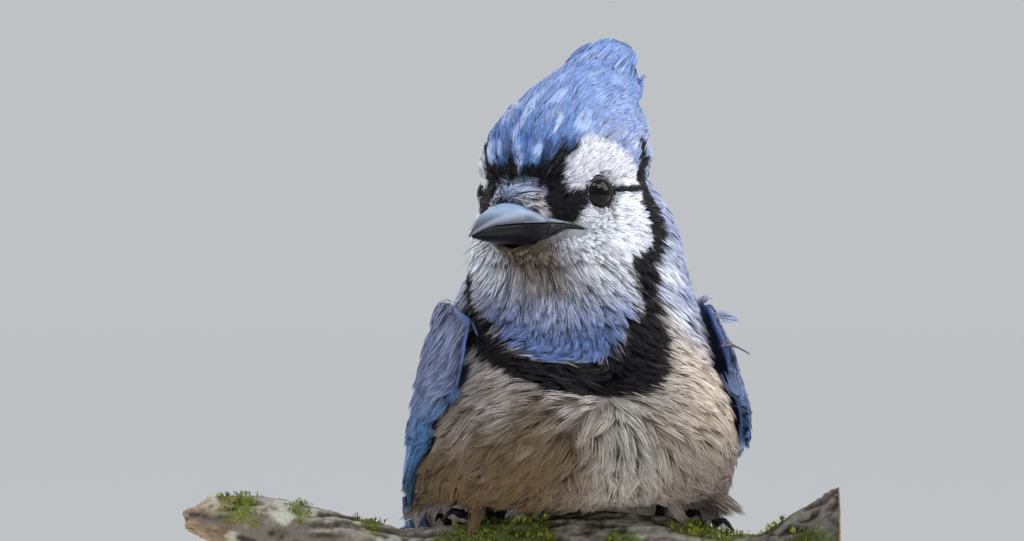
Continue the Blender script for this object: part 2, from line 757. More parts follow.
class Lie:
    """The way the plumage lies at each place of the body."""

    fan_from = (15.0, 0.0, -7.0)
    gather_at = (19.0, 0.0, -1.2)
    eye_clear = 3.5

    def ways(self, points: Array, normals: Array, forward: bool = False) -> Array:
        """The way feathers point, flat on the skin.

        Args:
            points: Places in the bird's frame.
            normals: The skin's outward ways there.
            forward: Whether they lie forward over the bill, as at the nose.

        Returns:
            Unit ways, one row for each point.
        """
        ahead, _, up = head_frame(points)
        if forward:
            return tangent(head_place(*self.gather_at) - points, normals)
        head = unit(points - head_place(*self.fan_from))
        head = head + np.outer(smooth(-4.0, -16.0, up), (0.0, 0.0, -0.8))
        level = turn(points, -BODY_YAW)
        outward = np.clip((level[:, 0] - PIVOT[0] - 3.0) / 14.0, -1.0, 1.0)
        outward = outward * smooth(48.0, 20.0, level[:, 1])
        body = np.stack((outward * 0.75, np.ones(len(points)), np.full(len(points), -0.85)), axis=1)
        low = smooth(-26.0, -38.0, up)
        nape = smooth(-15.0, -21.0, ahead) * smooth(9.0, 5.0, up)
        share = np.maximum(low, nape)
        way = mix(head, body, share)
        rise = np.radians(2.0 + 20.0 * smooth(8.0, 28.0, up))
        plume = np.outer(np.cos(rise), head_way(-1.0, 0.0, 0.0))
        plume = plume + np.outer(np.sin(rise), head_way(0.0, 0.0, 1.0))
        way = mix(way, plume, smooth(8.0, 18.0, up) * smooth(4.0, -8.0, ahead) * 0.9)
        for side in (-1.0, 1.0):
            away, near, _ = self.from_eye(points, side)
            inward = np.minimum(dot(way, away), 0.0)
            way = way - away * inward * smooth(6.5, 3.8, near)[:, None]
        return tangent(way, normals)

    @staticmethod
    def from_eye(points: Array, side: float) -> tuple[Array, Array, Array]:
        """Ways out from an eye's axis, the distance from it, and how far out along it."""
        ahead, left, up = EYE_PLACE
        axis = head_way(math.cos(EYE_TURN), side * math.sin(EYE_TURN), 0.0)
        away = points - head_place(ahead, side * left, up)
        along = dot(away, axis)
        flat = away - along * axis
        return unit(flat), np.linalg.norm(flat, axis=1), along[:, 0]


class Plumage:
    """The feathers of the skin, laid out piece by piece."""

    seed = 11
    knots = 5
    heights = (0.0, 0.34, 0.56, 0.74, 0.9, 1.0)
    least_share = 0.35
    blue = ("feathers_crown", "feathers_crest")
    flare = 1.96
    crest_back = ((-60, -99), (4, -99), (8.5, -44), (12, -45), (17, -44.5), (19, -42), (22, -43),
                  (25, -42), (26, -39.5), (30, -41), (31.5, -38), (32.3, -33), (33.3, -30), (34.5, -27))
    coats = (
        Coat("feathers_nose", 0.62, 7.5, 1.1, 0.35, 0.15, 60000, steps=4, point=0.6, wave=0.05, loose=7,
             lift=0.7, dark_share=0.38, spread=0.36, root_shade=0.25),
        Coat("feathers_face", 0.7, 3.0, 0.8, 0.55, 0.15, 115000, point=0.3, loose=9, even=0.7),
        Coat("feathers_brow", 0.8, 3.6, 1.1, 0.7, 0.16, 80000, point=0.3, loose=10, root_shade=0.7, even=0.7),
        Coat("feathers_crown", 1.15, 5.8, 1.0, 0.75, 0.19, 140000, point=0.35, root_shade=0.4, even=0.5),
        Coat("feathers_crest", 1.5, 10.5, 0.7, 1.0, 0.24, 150000, point=0.3, root_shade=0.55, even=0.6,
             spread=0.16),
        Coat("feathers_cheek", 1.0, 5.2, 1.2, 0.75, 0.19, 150000, point=0.4, root_shade=0.5, even=0.6),
        Coat("feathers_throat", 1.05, 8.0, 1.5, 0.8, 0.18, 170000, steps=4, point=0.55, dark_share=0.24,
             even=0.45, spread=0.24, root_shade=0.32),
        Coat("feathers_collar", 1.4, 6.5, 1.5, 1.0, 0.22, 80000, point=0.35, even=0.6),
        Coat("feathers_breast", 1.6, 7.5, 1.5, 1.1, 0.2, 190000, point=0.5, loose=11, root_shade=0.55,
             even=0.6),
        Coat("feathers_belly", 1.8, 9.0, 1.8, 1.2, 0.22, 140000, point=0.5, loose=14, root_shade=0.5,
             even=0.55),
        Coat("feathers_flanks", 2.3, 11.0, 2.0, 1.6, 0.28, 75000, point=0.5, loose=14, root_shade=0.5,
             even=0.4),
        Coat("feathers_back", 2.3, 8.5, 1.4, 1.7, 0.32, 90000, point=0.2, loose=5, root_shade=0.65, even=0.3),
    )

    def __init__(self, ground: Ground, nose_ground: Ground, markings: Markings, wings: list[BVHTree],
                 bill: BVHTree) -> None:
        """Takes the surfaces that the feathers lie on and keep clear of, and the markings."""
        self.ground, self.nose_ground, self.markings = ground, nose_ground, markings
        self.wings, self.bill = wings, bill
        self.lie = Lie()
        self.rng = np.random.default_rng(self.seed)

    def kinds(self, points: Array, normals: Array) -> Array:
        """The coat piece that each place belongs to, as its number, or -1 for bare places."""
        ahead, _, up = head_frame(points)
        side, up = self.markings.chart(points)
        edge = self.markings.edges(side, up)
        back, high = turn(points, -BODY_YAW)[:, 1], points[:, 2]
        index = {coat.name.split("_")[1]: i for i, coat in enumerate(self.coats)}
        kind = np.full(len(points), index["breast"])
        kind[high < 26.0] = index["belly"]
        kind[(back > -2.0) & (high < 60.0)] = index["flanks"]
        kind[(side > 100.0) & ((normals[:, 2] > -0.1) | (high > 30.0)) & (up < 20.0)] = index["back"]
        kind[(side <= 112.0) & (up > -44.0) & (edge["face"] < 0.0) & (up < 12.0)] = index["collar"]
        kind[(edge["face"] >= 0.0)] = index["throat"]
        kind[(edge["face"] >= 0.0) & (side > 27.0) & (up > -25.0)] = index["cheek"]
        kind[(edge["face"] >= 0.0) & (side < 50.0) & (up > -7.5)] = index["face"]
        kind[(edge["face"] >= 0.0) & (side < 60.0) & (up > -13.0) & (ahead > 3.0)] = index["face"]
        kind[(edge["crown"] > 0.0)] = index["crown"]
        kind[(edge["crown"] > 0.0) & (up > 16.0)] = index["crest"]
        kind[(edge["crown"] > 0.0) & (ahead < -16.0) & (up > 9.0)] = index["crest"]
        kind[edge["brow"] > 0.0] = index["brow"]
        kind[edge["lores"] > 0.0] = index["face"]
        kind[edge["nose"] > 0.0] = index["nose"]
        for eye in (-1.0, 1.0):
            _, near, along = self.lie.from_eye(points, eye)
            kind[(near < self.lie.eye_clear) & (along > 0.0)] = -1
        return kind

    def bare(self, points: Array, normals: Array) -> Array:
        """Which places are under a folded wing or inside the bill."""
        ahead, left, up = head_frame(points)
        width = np.interp(ahead, (1.4, 12.5, 33.0), (9.2, 5.9, 1.0))
        floor = np.interp(ahead, (1.4, 12.5), (-9.0, -10.6))
        roof = np.interp(ahead, (1.4, 12.5), (-5.8, -6.0))
        out = (ahead > 1.4) & (np.abs(left) < width) & (up > floor) & (up < roof)
        out |= (self.bill_gap(points) < 0.9) & (up < -3.6)
        for i in np.flatnonzero(points[:, 2] < 60.0):
            for wing in self.wings:
                hit = wing.ray_cast(points[i], normals[i], 9.0)
                if hit[0] is not None:
                    out[i] = True
        return out

    def bill_gap(self, points: Array) -> Array:
        """How far each place is from the bill, up to 6 mm."""
        found = (self.bill.find_nearest(point, 6.0)[3] for point in points)
        return np.array([6.0 if gap is None else gap for gap in found])

    @classmethod
    def trimmed(cls, lines: Array) -> Array:
        """Ends the crest's feathers at the crest's stepped outline."""
        ahead, left, up = head_frame(lines)
        over = lookup(up, cls.crest_back) - (ahead - cls.flare * np.abs(left))
        t = np.linspace(0.0, 1.0, lines.shape[1])
        share = np.ones(len(lines))
        outside = over[:, 0] >= 0.0
        for i in np.flatnonzero((over[:, -1] > 0.0) & ~outside):
            k = int(np.argmax(over[i] > 0.0))
            share[i] = t[k - 1] + (t[k] - t[k - 1]) * over[i, k - 1] / (over[i, k - 1] - over[i, k])
        share[outside] = np.where(up[outside, 0] > 25.0, 0.25, 0.6)
        at = np.clip(t[None, :] * share[:, None] * (len(t) - 1), 0.0, len(t) - 1.001)
        low = at.astype(int)
        part = (at - low)[..., None]
        row = np.arange(len(lines))[:, None]
        return lines[row, low] * (1.0 - part) + lines[row, low + 1] * part

    def lay(self, coat: Coat, roots: Array, normals: Array) -> tuple[Array, Array]:
        """Lays each feather's middle line over the body.

        Args:
            coat: The piece's sizes.
            roots: Where the feathers start.
            normals: The skin's outward ways there.

        Returns:
            The lines' points and the outward ways along them.
        """
        forward = coat.name == "feathers_nose"
        ground = self.nose_ground if forward else self.ground
        count = len(roots)
        length = coat.length * self.rng.uniform(0.8, 1.15, count)
        for eye in (-1.0, 1.0):
            _, near, _ = self.lie.from_eye(roots, eye)
            length = length * (0.45 + 0.55 * smooth(3.5, 7.5, near))
        if forward:
            length = np.minimum(length, np.linalg.norm(roots - head_place(*self.lie.gather_at), axis=1) * 0.8)
            backward = self.rng.random(count) < 0.22
            length = np.where(backward, -0.45 * length, length)
        else:
            length = length * (0.45 + 0.55 * smooth(0.6, 4.0, self.bill_gap(roots)))
        step = (length / self.knots)[:, None]
        swing = np.radians(self.rng.normal(0.0, coat.loose, count))[:, None]
        skin, way_out = roots.copy(), normals.copy()
        heights = np.array(self.heights) * coat.depth
        extra = self.rng.uniform(0.7, 1.0 + coat.lift, count)[:, None]
        extra = extra * np.clip(np.abs(length) / coat.length, self.least_share, 1.0)[:, None]
        way = self.lie.ways(skin, way_out, forward)
        lines, outs = [skin.copy()], [way_out.copy()]
        for knot in range(1, self.knots + 1):
            now = self.lie.ways(skin, way_out, forward)
            now = now * np.cos(swing) + np.cross(way_out, now) * np.sin(swing)
            way = unit(way * 0.4 + now * 0.6)
            free = skin + way * step
            near, facing = ground.lie(free)
            gap = np.linalg.norm(near - free, axis=1, keepdims=True)
            hold = smooth(0.75, 0.35, gap / np.abs(step))
            moved = near * hold + free * (1.0 - hold)
            way = unit(moved - skin) * np.sign(step)
            way_out = unit(way_out * 0.5 + facing * hold + way_out * (1.0 - hold))
            way_out = unit(way_out - way * dot(way_out, way))
            skin = moved
            for eye in (-1.0, 1.0):
                away, close, along = self.lie.from_eye(skin, eye)
                push = np.maximum(self.lie.eye_clear - close, 0.0) * (along > 0.0)
                skin = skin + away * push[:, None]
            lines.append(skin + way_out * heights[knot] * extra)
            outs.append(way_out.copy())
        laid = np.stack(lines, axis=1)
        if coat.name == "feathers_crest":
            laid = self.trimmed(laid)
        return laid, np.stack(outs, axis=1)

    def build(self) -> None:
        """Makes every coat piece."""
        skin_kinds = self.kinds(*self.ground.faces())
        spacing = np.array([coat.spacing for coat in self.coats])[skin_kinds] * (skin_kinds >= 0)
        roots, normals, uv = self.ground.scatter(spacing, self.rng)
        kinds = self.kinds(roots, normals)
        kinds[self.bare(roots, normals)] = -1
        for number, coat in enumerate(self.coats):
            chosen = kinds == number
            LOG.info("%s: %d feathers", coat.name, chosen.sum())
            if not chosen.any():
                continue
            lines, outs = self.lay(coat, roots[chosen], normals[chosen])
            mesh = Barbs(coat, self.markings, self.rng).mesh(lines, outs, uv[chosen])
            shown(coat.name, mesh, PLUMAGE)


class Plumes:
    """The long feathers whose ends make the crest's steps.

    Each is named by its tip, ahead, left and up in the head's frame, and by its length.
    """

    tips = ((-28.4, 0.9, 31.9, 11.0), (-26.8, 1.2, 30.2, 9.0), (-31.0, 1.4, 29.8, 12.0),
            (-35.4, 1.7, 31.0, 16.0), (-37.8, 2.0, 30.4, 16.0), (-38.2, 2.0, 28.8, 15.0),
            (-37.4, 1.8, 27.2, 13.0), (-39.8, 2.8, 24.4, 13.0), (-40.4, 3.0, 22.8, 13.0),
            (-39.6, 3.0, 21.2, 12.0),
            (-28.4, 9.8, 16.0, 11.0), (-28.8, 10.0, 14.2, 11.0), (-27.8, 10.2, 12.4, 10.0))
    coat = Coat("feathers_plumes", 1.0, 15.0, 0.5, 1.2, 0.24, 42000, steps=4, point=0.1, wave=0.06,
                root_shade=0.92, even=0.5, spread=0.14, rounding=0.16, flat=True)

    def __init__(self, ground: Ground, markings: Markings, rng: np.random.Generator) -> None:
        """Takes the skin, the markings and the source of chance."""
        self.ground, self.markings, self.rng = ground, markings, rng

    def rise(self, up: float) -> float:
        """How steeply a plume of this height stands."""
        return math.radians(4.0 + 19.0 * float(smooth(14.0, 31.0, np.array(up))))

    def line(self, tip: tuple[float, ...], side: float) -> Array:
        """A plume's middle line, laid on the side of the crest."""
        ahead, left, up, length = tip
        slope = self.rise(up)
        line = []
        for t in np.linspace(0.0, 1.0, Plumage.knots + 1):
            back = (1.0 - t) * length
            f, u = ahead + back * math.cos(slope), up - back * math.sin(slope)
            hit = self.ground.tree.ray_cast(head_place(f, side * 25.0, u), head_way(0.0, -side, 0.0))[0]
            on_skin = left if hit is None else abs(float(head_frame(np.array(hit))[1])) + 0.2 + 0.9 * t
            wide = on_skin * (1.0 - t**2) + max(left, 0.0 if hit is None else on_skin) * t**2
            line.append(head_place(f, side * wide, u))
        return np.array(line)

    def build(self) -> None:
        """Makes the plumes of both sides."""
        lines = np.array([self.line(tip, side) for side in (1.0, -1.0) for tip in self.tips])
        sides = np.repeat((1.0, -1.0), len(self.tips))
        outs = np.repeat((sides[:, None] * head_way(0.0, 1.0, 0.0))[:, None, :], Plumage.knots + 1, axis=1)
        middles, _ = self.ground.faces()
        nearest = [int(np.argmin(((middles - line[0]) ** 2).sum(axis=1))) for line in lines]
        uv = self.ground.corner_uv.mean(axis=1)[nearest]
        mesh = Barbs(self.coat, self.markings, self.rng).mesh(lines, outs, uv)
        shown(self.coat.name, mesh, PLUMAGE)


class Barbs:
    """The fine barbs that make up each feather."""

    taper = {3: (0.6, 1.0, 0.75), 4: (0.6, 1.0, 0.9, 0.6)}
    fewest = 6

    def __init__(self, coat: Coat, markings: "Markings | Wing | Perch | Bristles",
                 rng: np.random.Generator) -> None:
        """Takes the piece's sizes, what gives its colours, and the source of chance."""
        self.coat, self.markings, self.rng = coat, markings, rng

    def mesh(self, lines: Array, outs: Array, roots_uv: Array) -> bpy.types.Mesh:
        """Draws every feather as a bundle of tapered barbs.

        Args:
            lines: The feathers' middle lines.
            outs: The outward ways along them.
            roots_uv: Each feather's place on the skin's bake map.

        Returns:
            One joined mesh.
        """
        coat, rng = self.coat, self.rng
        steps, knots = coat.steps, lines.shape[1] - 1
        per = max(self.fewest, coat.triangles // ((2 * steps - 1) * len(lines)))
        which = np.repeat(np.arange(len(lines)), per)
        count = len(which)
        if coat.flat:
            off = rng.uniform(-1.2, 1.2, count)
        else:
            off = np.clip(rng.normal(0.0, 0.6, count), -1.5, 1.5)
        drift = off + rng.normal(0.0, 0.06 if coat.flat else 0.3, count)
        start = rng.uniform(0.0, 0.45, count)
        end = 1.0 - coat.rounding * np.minimum(off**2, 1.5)
        end = end - coat.even * rng.uniform(0.0, 0.6, count) * (1.0 - start)
        t = start[:, None] + (end - start)[:, None] * np.linspace(0.0, 1.0, steps + 1)
        place = np.clip(t * knots, 0.0, knots - 1e-6)
        low = place.astype(int)
        part = (place - low)[..., None]
        row = which[:, None]
        centre = lines[row, low] * (1.0 - part) + lines[row, low + 1] * part
        out = unit(outs[row, low] * (1.0 - part) + outs[row, low + 1] * part)
        along = unit(lines[row, low + 1] - lines[row, low])
        across = unit(np.cross(out, along))
        size = rng.uniform(0.8, 1.2, len(lines))[which][:, None]
        spread = coat.half_width * size * (off[:, None] * (1.0 - t) + drift[:, None] * t)
        spread = spread * (1.0 - coat.point * t**1.5)
        ripple = np.sin(6.28 * (t * rng.uniform(0.5, 1.1, (count, 1)) + rng.random((count, 1))))
        rise = rng.random((count, 1)) * coat.depth * 0.35 * t + 0.05
        centre = centre + across * (spread + coat.wave * ripple)[..., None] + out * rise[..., None]
        roll = rng.normal(0.0, 0.45, count)[:, None, None]
        edge = across * np.cos(roll) + out * np.sin(roll)
        taper = np.array(self.taper[steps])[None, :, None]
        half = edge[:, :steps] * taper * (coat.barb / 2.0) * rng.uniform(0.7, 1.3, (count, 1, 1))
        places = self.paired(centre[:, :steps] - half, centre[:, :steps] + half, centre[:, -1])
        shade = coat.root_shade + (1.0 - coat.root_shade) * smooth(0.05, 0.6, t)
        light = np.exp(rng.normal(0.0, coat.spread, count)) * np.exp(rng.normal(0.0, 0.06, len(lines)))[which]
        light = np.where(rng.random(count) < coat.dark_share, light * 0.4, light)
        jitter = rng.normal(0.0, 0.4, count)
        tones = self.markings.colours(centre[:, steps - 1], out[:, steps - 1], jitter)
        tone = tones[:, None, :] * (shade * light[:, None])[..., None]
        full = self.paired(tone[:, :steps], tone[:, :steps], tone[:, -1] * 1.05)
        patch = np.stack((np.broadcast_to(off[:, None] * 0.5, t.shape), t - 0.5), axis=-1) * PATCH
        spot = roots_uv[which][:, None, :] + patch
        uv = self.paired(spot[:, :steps], spot[:, :steps] + (PATCH * 0.15, 0.0), spot[:, -1])
        return self.joined(places, full, uv)

    @staticmethod
    def paired(left: Array, right: Array, tip: Array) -> Array:
        """The two edges' values of each barb in turn from its root, and its tip's value last."""
        count, steps, size = left.shape
        both = np.stack((left, right), axis=2).reshape(count, 2 * steps, size)
        return np.concatenate((both, tip[:, None]), axis=1)

    def joined(self, places: Array, tones: Array, uv: Array) -> bpy.types.Mesh:
        """Draws the barbs as one mesh, each a strip that ends in a point.

        Args:
            places: Each barb's points in the bird's frame.
            tones: Their colours.
            uv: Their places on the bake map.

        Returns:
            The mesh in the row's frame.
        """
        count, per, _ = places.shape
        faces = []
        for j in range(0, per - 3, 2):
            faces += [(j, j + 3, j + 1), (j, j + 2, j + 3)]
        faces.append((per - 3, per - 1, per - 2))
        corners = (np.array(faces)[None] + np.arange(count)[:, None, None] * per).ravel()
        mesh = bpy.data.meshes.new(self.coat.name)
        mesh.vertices.add(count * per)
        mesh.vertices.foreach_set("co", to_row(places).ravel())
        mesh.loops.add(corners.size)
        mesh.loops.foreach_set("vertex_index", corners.astype(np.int32))
        mesh.polygons.add(corners.size // 3)
        mesh.polygons.foreach_set("loop_start", np.arange(0, corners.size, 3, dtype=np.int32))
        mesh.update(calc_edges=True)
        set_tone(mesh, tones.reshape(-1, 3))
        layer = mesh.uv_layers.new(name=BAKE_MAP)
        layer.data.foreach_set("uv", uv.reshape(-1, 2)[corners].ravel())
        return mesh


@dataclass
class Skin:
    """The one skin that head, crest, neck and trunk share under the feathers."""

    swell: float = 0.36
    voxel: float = 0.85
    smoothing: int = 5
    flesh: tuple[str, ...] = ("head", "crest", "neck", "trunk")

    def depth(self, points: Array) -> Array:
        """How far under the coat's surface the skin lies."""
        ahead, _, up = head_frame(points)
        face = smooth(-9.0, 0.0, ahead) * smooth(-14.0, -6.0, up)
        crest = smooth(14.0, 24.0, up)
        depth = 2.0 - 0.9 * smooth(-20.0, -6.0, up)
        depth = depth * (1.0 - face) + 0.8 * face
        return depth * (1.0 - crest) + 0.55 * crest

    def build(self, nodes: dict[str, bpy.types.Object], markings: Markings) -> bpy.types.Object:
        """Makes the skin and paints it with the markings.

        Args:
            nodes: The CAD nodes.
            markings: The plumage's colours.

        Returns:
            The skin, which replaces the flesh nodes.
        """
        bm = bmesh.new()
        for name in self.flesh:
            part = from_bmesh(name + "_part", merged(nodes[name], self.swell))
            bm.from_mesh(part)
            bpy.data.meshes.remove(part)
        mesh = one_surface("skin", bm, self.voxel, self.smoothing)
        points, normals, _ = mesh_arrays(mesh)
        move_points(mesh, points - normals * (self.depth(points) + self.swell)[:, None])
        points, normals, _ = mesh_arrays(mesh)
        set_tone(mesh, markings.colours(points, normals, np.zeros(len(points))) * SKIN_SHADE)
        finish = Finish("skin_down", roughness=0.8, specular=0.1, grain_depth=0.5, relief=0.2)
        skin = shown("skin", mesh, finish)
        unwrap(skin)
        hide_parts(*self.flesh)
        return skin


@dataclass
class Eye:
    """An eyeball with its iris, and the ring of lids round it."""

    opening: float = 2.95
    pupil: float = 2.0
    iris: float = 2.75
    lid: float = 0.34
    rim: float = 0.26

    def frame(self, side: float) -> Matrix:
        """Turns the upright axis to the eye's and puts it at the eye's middle."""
        ahead, left, up = EYE_PLACE
        axis = Vector(head_way(math.cos(EYE_TURN), side * math.sin(EYE_TURN), 0.04))
        centre = to_row(head_place(ahead, side * left, up))
        return Matrix.Translation(centre) @ axis.to_track_quat("Z", "Y").to_matrix().to_4x4()

    def build(self, side: float, name: str) -> None:
        """Makes one eye and its lids.

        Args:
            side: 1 for the bird's left.
            name: The CAD node it stands for.
        """
        frame = self.frame(side)
        bm = bmesh.new()
        bmesh.ops.create_uvsphere(bm, u_segments=64, v_segments=64, radius=EYE_RADIUS * MM, matrix=frame)
        mesh = from_bmesh(name + "_ball", bm)
        back = frame.inverted()
        local = np.array([back @ v.co for v in mesh.vertices]) / MM
        far = np.hypot(local[:, 0], local[:, 1])
        front = local[:, 2] > 0.0
        brown = mix(rgb(10, 6, 5), rgb(28, 17, 12), smooth(self.pupil, self.iris, far))
        tone = mix(rgb(3, 3, 4), brown, smooth(self.pupil - 0.1, self.pupil + 0.1, far))
        tone = mix(tone, rgb(10, 8, 8), smooth(self.iris, self.iris + 0.2, far) + (~front))
        set_tone(mesh, np.clip(tone, 0.0, 1.0))
        finish = Finish(name, roughness=0.03, specular=0.16, grain_depth=0.1)
        ball = shown(name + "_ball", mesh, finish)
        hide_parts(name)
        self.ring(frame, name + "_lid", self.opening + 0.12, self.lid, rgb(22, 20, 22), 0.0)
        self.ring(frame, name + "_rim", self.opening + 0.5, self.rim, rgb(104, 106, 114), 0.4)

    def ring(self, frame: Matrix, name: str, radius: float, thickness: float, tone: Array,
             beads: float) -> None:
        """A ring of skin round the eye's opening.

        Args:
            frame: The eye's place and turn.
            name: The piece's name.
            radius: The ring's radius.
            thickness: Its roundness.
            tone: Its colour.
            beads: How much it swells and narrows along its way.
        """
        height = math.sqrt(max(EYE_RADIUS**2 - radius**2, 1.0)) + 0.05
        bm = bmesh.new()
        section = bmesh.ops.create_circle(bm, segments=12, radius=thickness * MM)
        stand = Matrix.Translation((radius * MM, 0.0, height * MM)) @ Matrix.Rotation(math.pi / 2, 4, "X")
        bmesh.ops.transform(bm, matrix=stand, verts=section["verts"])
        bmesh.ops.spin(bm, geom=bm.verts[:] + bm.edges[:], cent=(0, 0, 0), axis=(0, 0, 1), angle=math.tau,
                       steps=72, use_merge=True)
        bmesh.ops.remove_doubles(bm, verts=bm.verts, dist=1e-6)
        for vert in bm.verts:
            angle = math.atan2(vert.co.y, vert.co.x)
            core = Vector((math.cos(angle) * radius * MM, math.sin(angle) * radius * MM, height * MM))
            vert.co = core + (vert.co - core) * (1.0 + beads * math.sin(angle * 30.0))
        bmesh.ops.recalc_face_normals(bm, faces=bm.faces)
        bmesh.ops.transform(bm, matrix=frame, verts=bm.verts)
        mesh = from_bmesh(name, bm)
        set_tone(mesh, tone)
        shown(name, mesh, Finish(name, roughness=0.5, specular=0.4))


@dataclass
class Bill:
    """The two halves of the bill."""

    around: int = 96
    along: int = 96
    gap: float = 0.22
    upper_tip: tuple[float, float] = (34.9, -9.0)
    lower_tip: tuple[float, float] = (33.2, -9.0)
    stations: tuple[tuple[float, ...], ...] = (
        (1.4, -5.4, -7.8, -8.6, 9.2), (4.0, -4.3, -7.8, -9.4, 8.3), (8.0, -2.6, -6.3, -10.2, 7.1),
        (12.5, -1.6, -5.9, -10.6, 5.9), (17.5, -1.8, -6.0, -10.5, 4.8), (22.5, -2.8, -6.2, -10.2, 3.7),
        (27.2, -4.4, -6.6, -9.9, 2.5), (31.0, -6.1, -7.5, -9.4, 1.5), (33.6, -7.7, -8.5, -9.0, 0.7),
    )
    upper_strip: Pairs = ((5.2, 0.0), (6.0, 0.4), (8.5, 0.55), (11.0, 0.9), (14.5, 1.7), (19.0, 2.6))
    lower_strip: Pairs = ((5.2, 0.0), (6.0, 0.5), (8.5, 1.2), (10.0, 2.7), (11.5, 3.8), (14.5, 4.6))
    corner: float = 5.2
    skin_end: float = 13.3
    spread_end: float = 19.0

    def spread(self, tree: BVHTree, ahead: float, across: Array, up: Array, mouth: float,
               reach: float) -> Array:
        """Widens a ring of the bill so that its edges at the gape show over the skin.

        Args:
            tree: The skin.
            ahead: The ring's place.
            across: How far left of the middle each of its points is.
            up: Their heights.
            mouth: The height of the mouth's line.
            reach: How far from that line the bill shows.

        Returns:
            The new distances to the left.
        """
        out = across.copy()
        for i, (left, height) in enumerate(zip(across, up)):
            away = abs(height - mouth) / max(reach, 1e-6)
            side = math.copysign(1.0, left)
            start = head_place(min(ahead, self.skin_end), side * 25.0, height)
            hit = tree.ray_cast(start, head_way(0.0, -side, 0.0))[0]
            if hit is None or away > 1.25:
                continue
            skin = abs(float(head_frame(np.array(hit))[1]))
            wide = max(abs(left), skin + 0.6 - 0.75 * away**2)
            fade = float(smooth(self.spread_end, self.skin_end, np.array(ahead)))
            out[i] = left + (side * wide - left) * fade
        return out

    def half(self, upper: bool, tree: BVHTree) -> bpy.types.Mesh:
        """One half of the bill, closed, with its colours.

        Args:
            upper: Whether it is the upper half.
            tree: The skin that it comes out of.

        Returns:
            The mesh.
        """
        rows = list(self.stations if upper else self.stations[:-1])
        tip = self.upper_tip if upper else self.lower_tip
        rows.append((tip[0], tip[1] + 0.05, tip[1], tip[1] - 0.05, 0.05))
        table = np.array(rows)
        knots = np.concatenate(((0.0,), np.cumsum(np.linalg.norm(np.diff(table, axis=0), axis=1))))
        at = np.linspace(0.0, knots[-1], self.along + 1)
        places = np.empty((self.along + 1, self.around + 1, 3))
        angle = np.linspace(0.0, math.tau, self.around + 1)
        half = angle <= math.pi
        for i, s in enumerate(at):
            ahead, top, mouth, bottom, width = self.eased(table, knots, s)
            power = 0.85 if upper else 0.7
            far = top if upper else bottom
            base = mouth if upper else mouth - self.gap
            wide = width if upper else width * 0.94
            upright = np.abs(np.sin(angle))
            rise = np.where(half, upright ** power * (far - base), -0.06 * upright)
            across = np.cos(angle) * wide
            reach = float(lookup(ahead, self.upper_strip if upper else self.lower_strip))
            if self.corner < ahead < self.spread_end:
                sides = half & (np.abs(across) > 0.25 * wide)
                across[sides] = self.spread(tree, ahead, across[sides], (base + rise)[sides], mouth, reach)
                across[~half] = np.cos(angle[~half]) * np.abs(across[half]).max()
            places[i] = head_place(ahead, across, base + rise)
        bm = shaped_grid(self.around, self.along, places, Grid.ROUND)
        mesh = from_bmesh("bill", bm)
        points, _, _ = mesh_arrays(mesh)
        ahead, left, up = head_frame(points)
        mouth = np.interp(ahead, table[:, 0], table[:, 2])
        if upper:
            tone = mix(rgb(118, 132, 150), rgb(136, 158, 188), smooth(12.0, 18.0, ahead))
            tone = mix(tone, rgb(62, 74, 96), smooth(24.0, 33.0, ahead) * 0.85)
            tone = mix(tone, rgb(52, 62, 78), smooth(3.2, 1.0, up - mouth) * smooth(12.0, 18.0, ahead) * 0.8)
            tone = mix(tone, rgb(16, 17, 21), smooth(0.6, 0.05, up - mouth) * 0.95)
        else:
            tone = mix(rgb(9, 9, 11), rgb(34, 37, 44), smooth(-0.9, -0.2, up - mouth) * 0.7)
        speckles = smooth(0.05, 0.35, grain(points, 2.6, 8.0)) * smooth(17.0, 11.0, ahead)
        tone = mix(tone, rgb(70, 70, 76), speckles * 0.8)
        tone = mix(tone, rgb(26, 24, 27), smooth(9.0, 7.4, ahead) * smooth(0.05, 0.3, np.abs(up - mouth)))
        set_tone(mesh, tone)
        return mesh

    @staticmethod
    def eased(table: Array, knots: Array, s: float) -> Array:
        """The bill's measures at a distance along it, on a smooth curve."""
        i = min(int(np.searchsorted(knots, s, side="right")) - 1, len(knots) - 2)
        t = (s - knots[i]) / (knots[i + 1] - knots[i])
        a, b = table[max(i - 1, 0)], table[i]
        c, d = table[i + 1], table[min(i + 2, len(table) - 1)]
        bend, twist = 2 * a - 5 * b + 4 * c - d, 3 * b - a - 3 * c + d
        return 0.5 * (2 * b + (c - a) * t + bend * t**2 + twist * t**3)

    def build(self, tree: BVHTree) -> list[bpy.types.Object]:
        """Makes both halves.

        Args:
            tree: The skin that they come out of.

        Returns:
            The upper and the lower half.
        """
        pieces = []
        for upper, node, shine in ((True, "bill_upper", 0.5), (False, "bill_lower", 0.1)):
            finish = Finish(node + "_horn", roughness=0.32, specular=shine, grain_scale=500.0,
                            grain_depth=0.35, relief=0.05)
            piece = shown(node + "_horn", self.half(upper, tree), finish)
            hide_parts(node)
            pieces.append(piece)
        return pieces


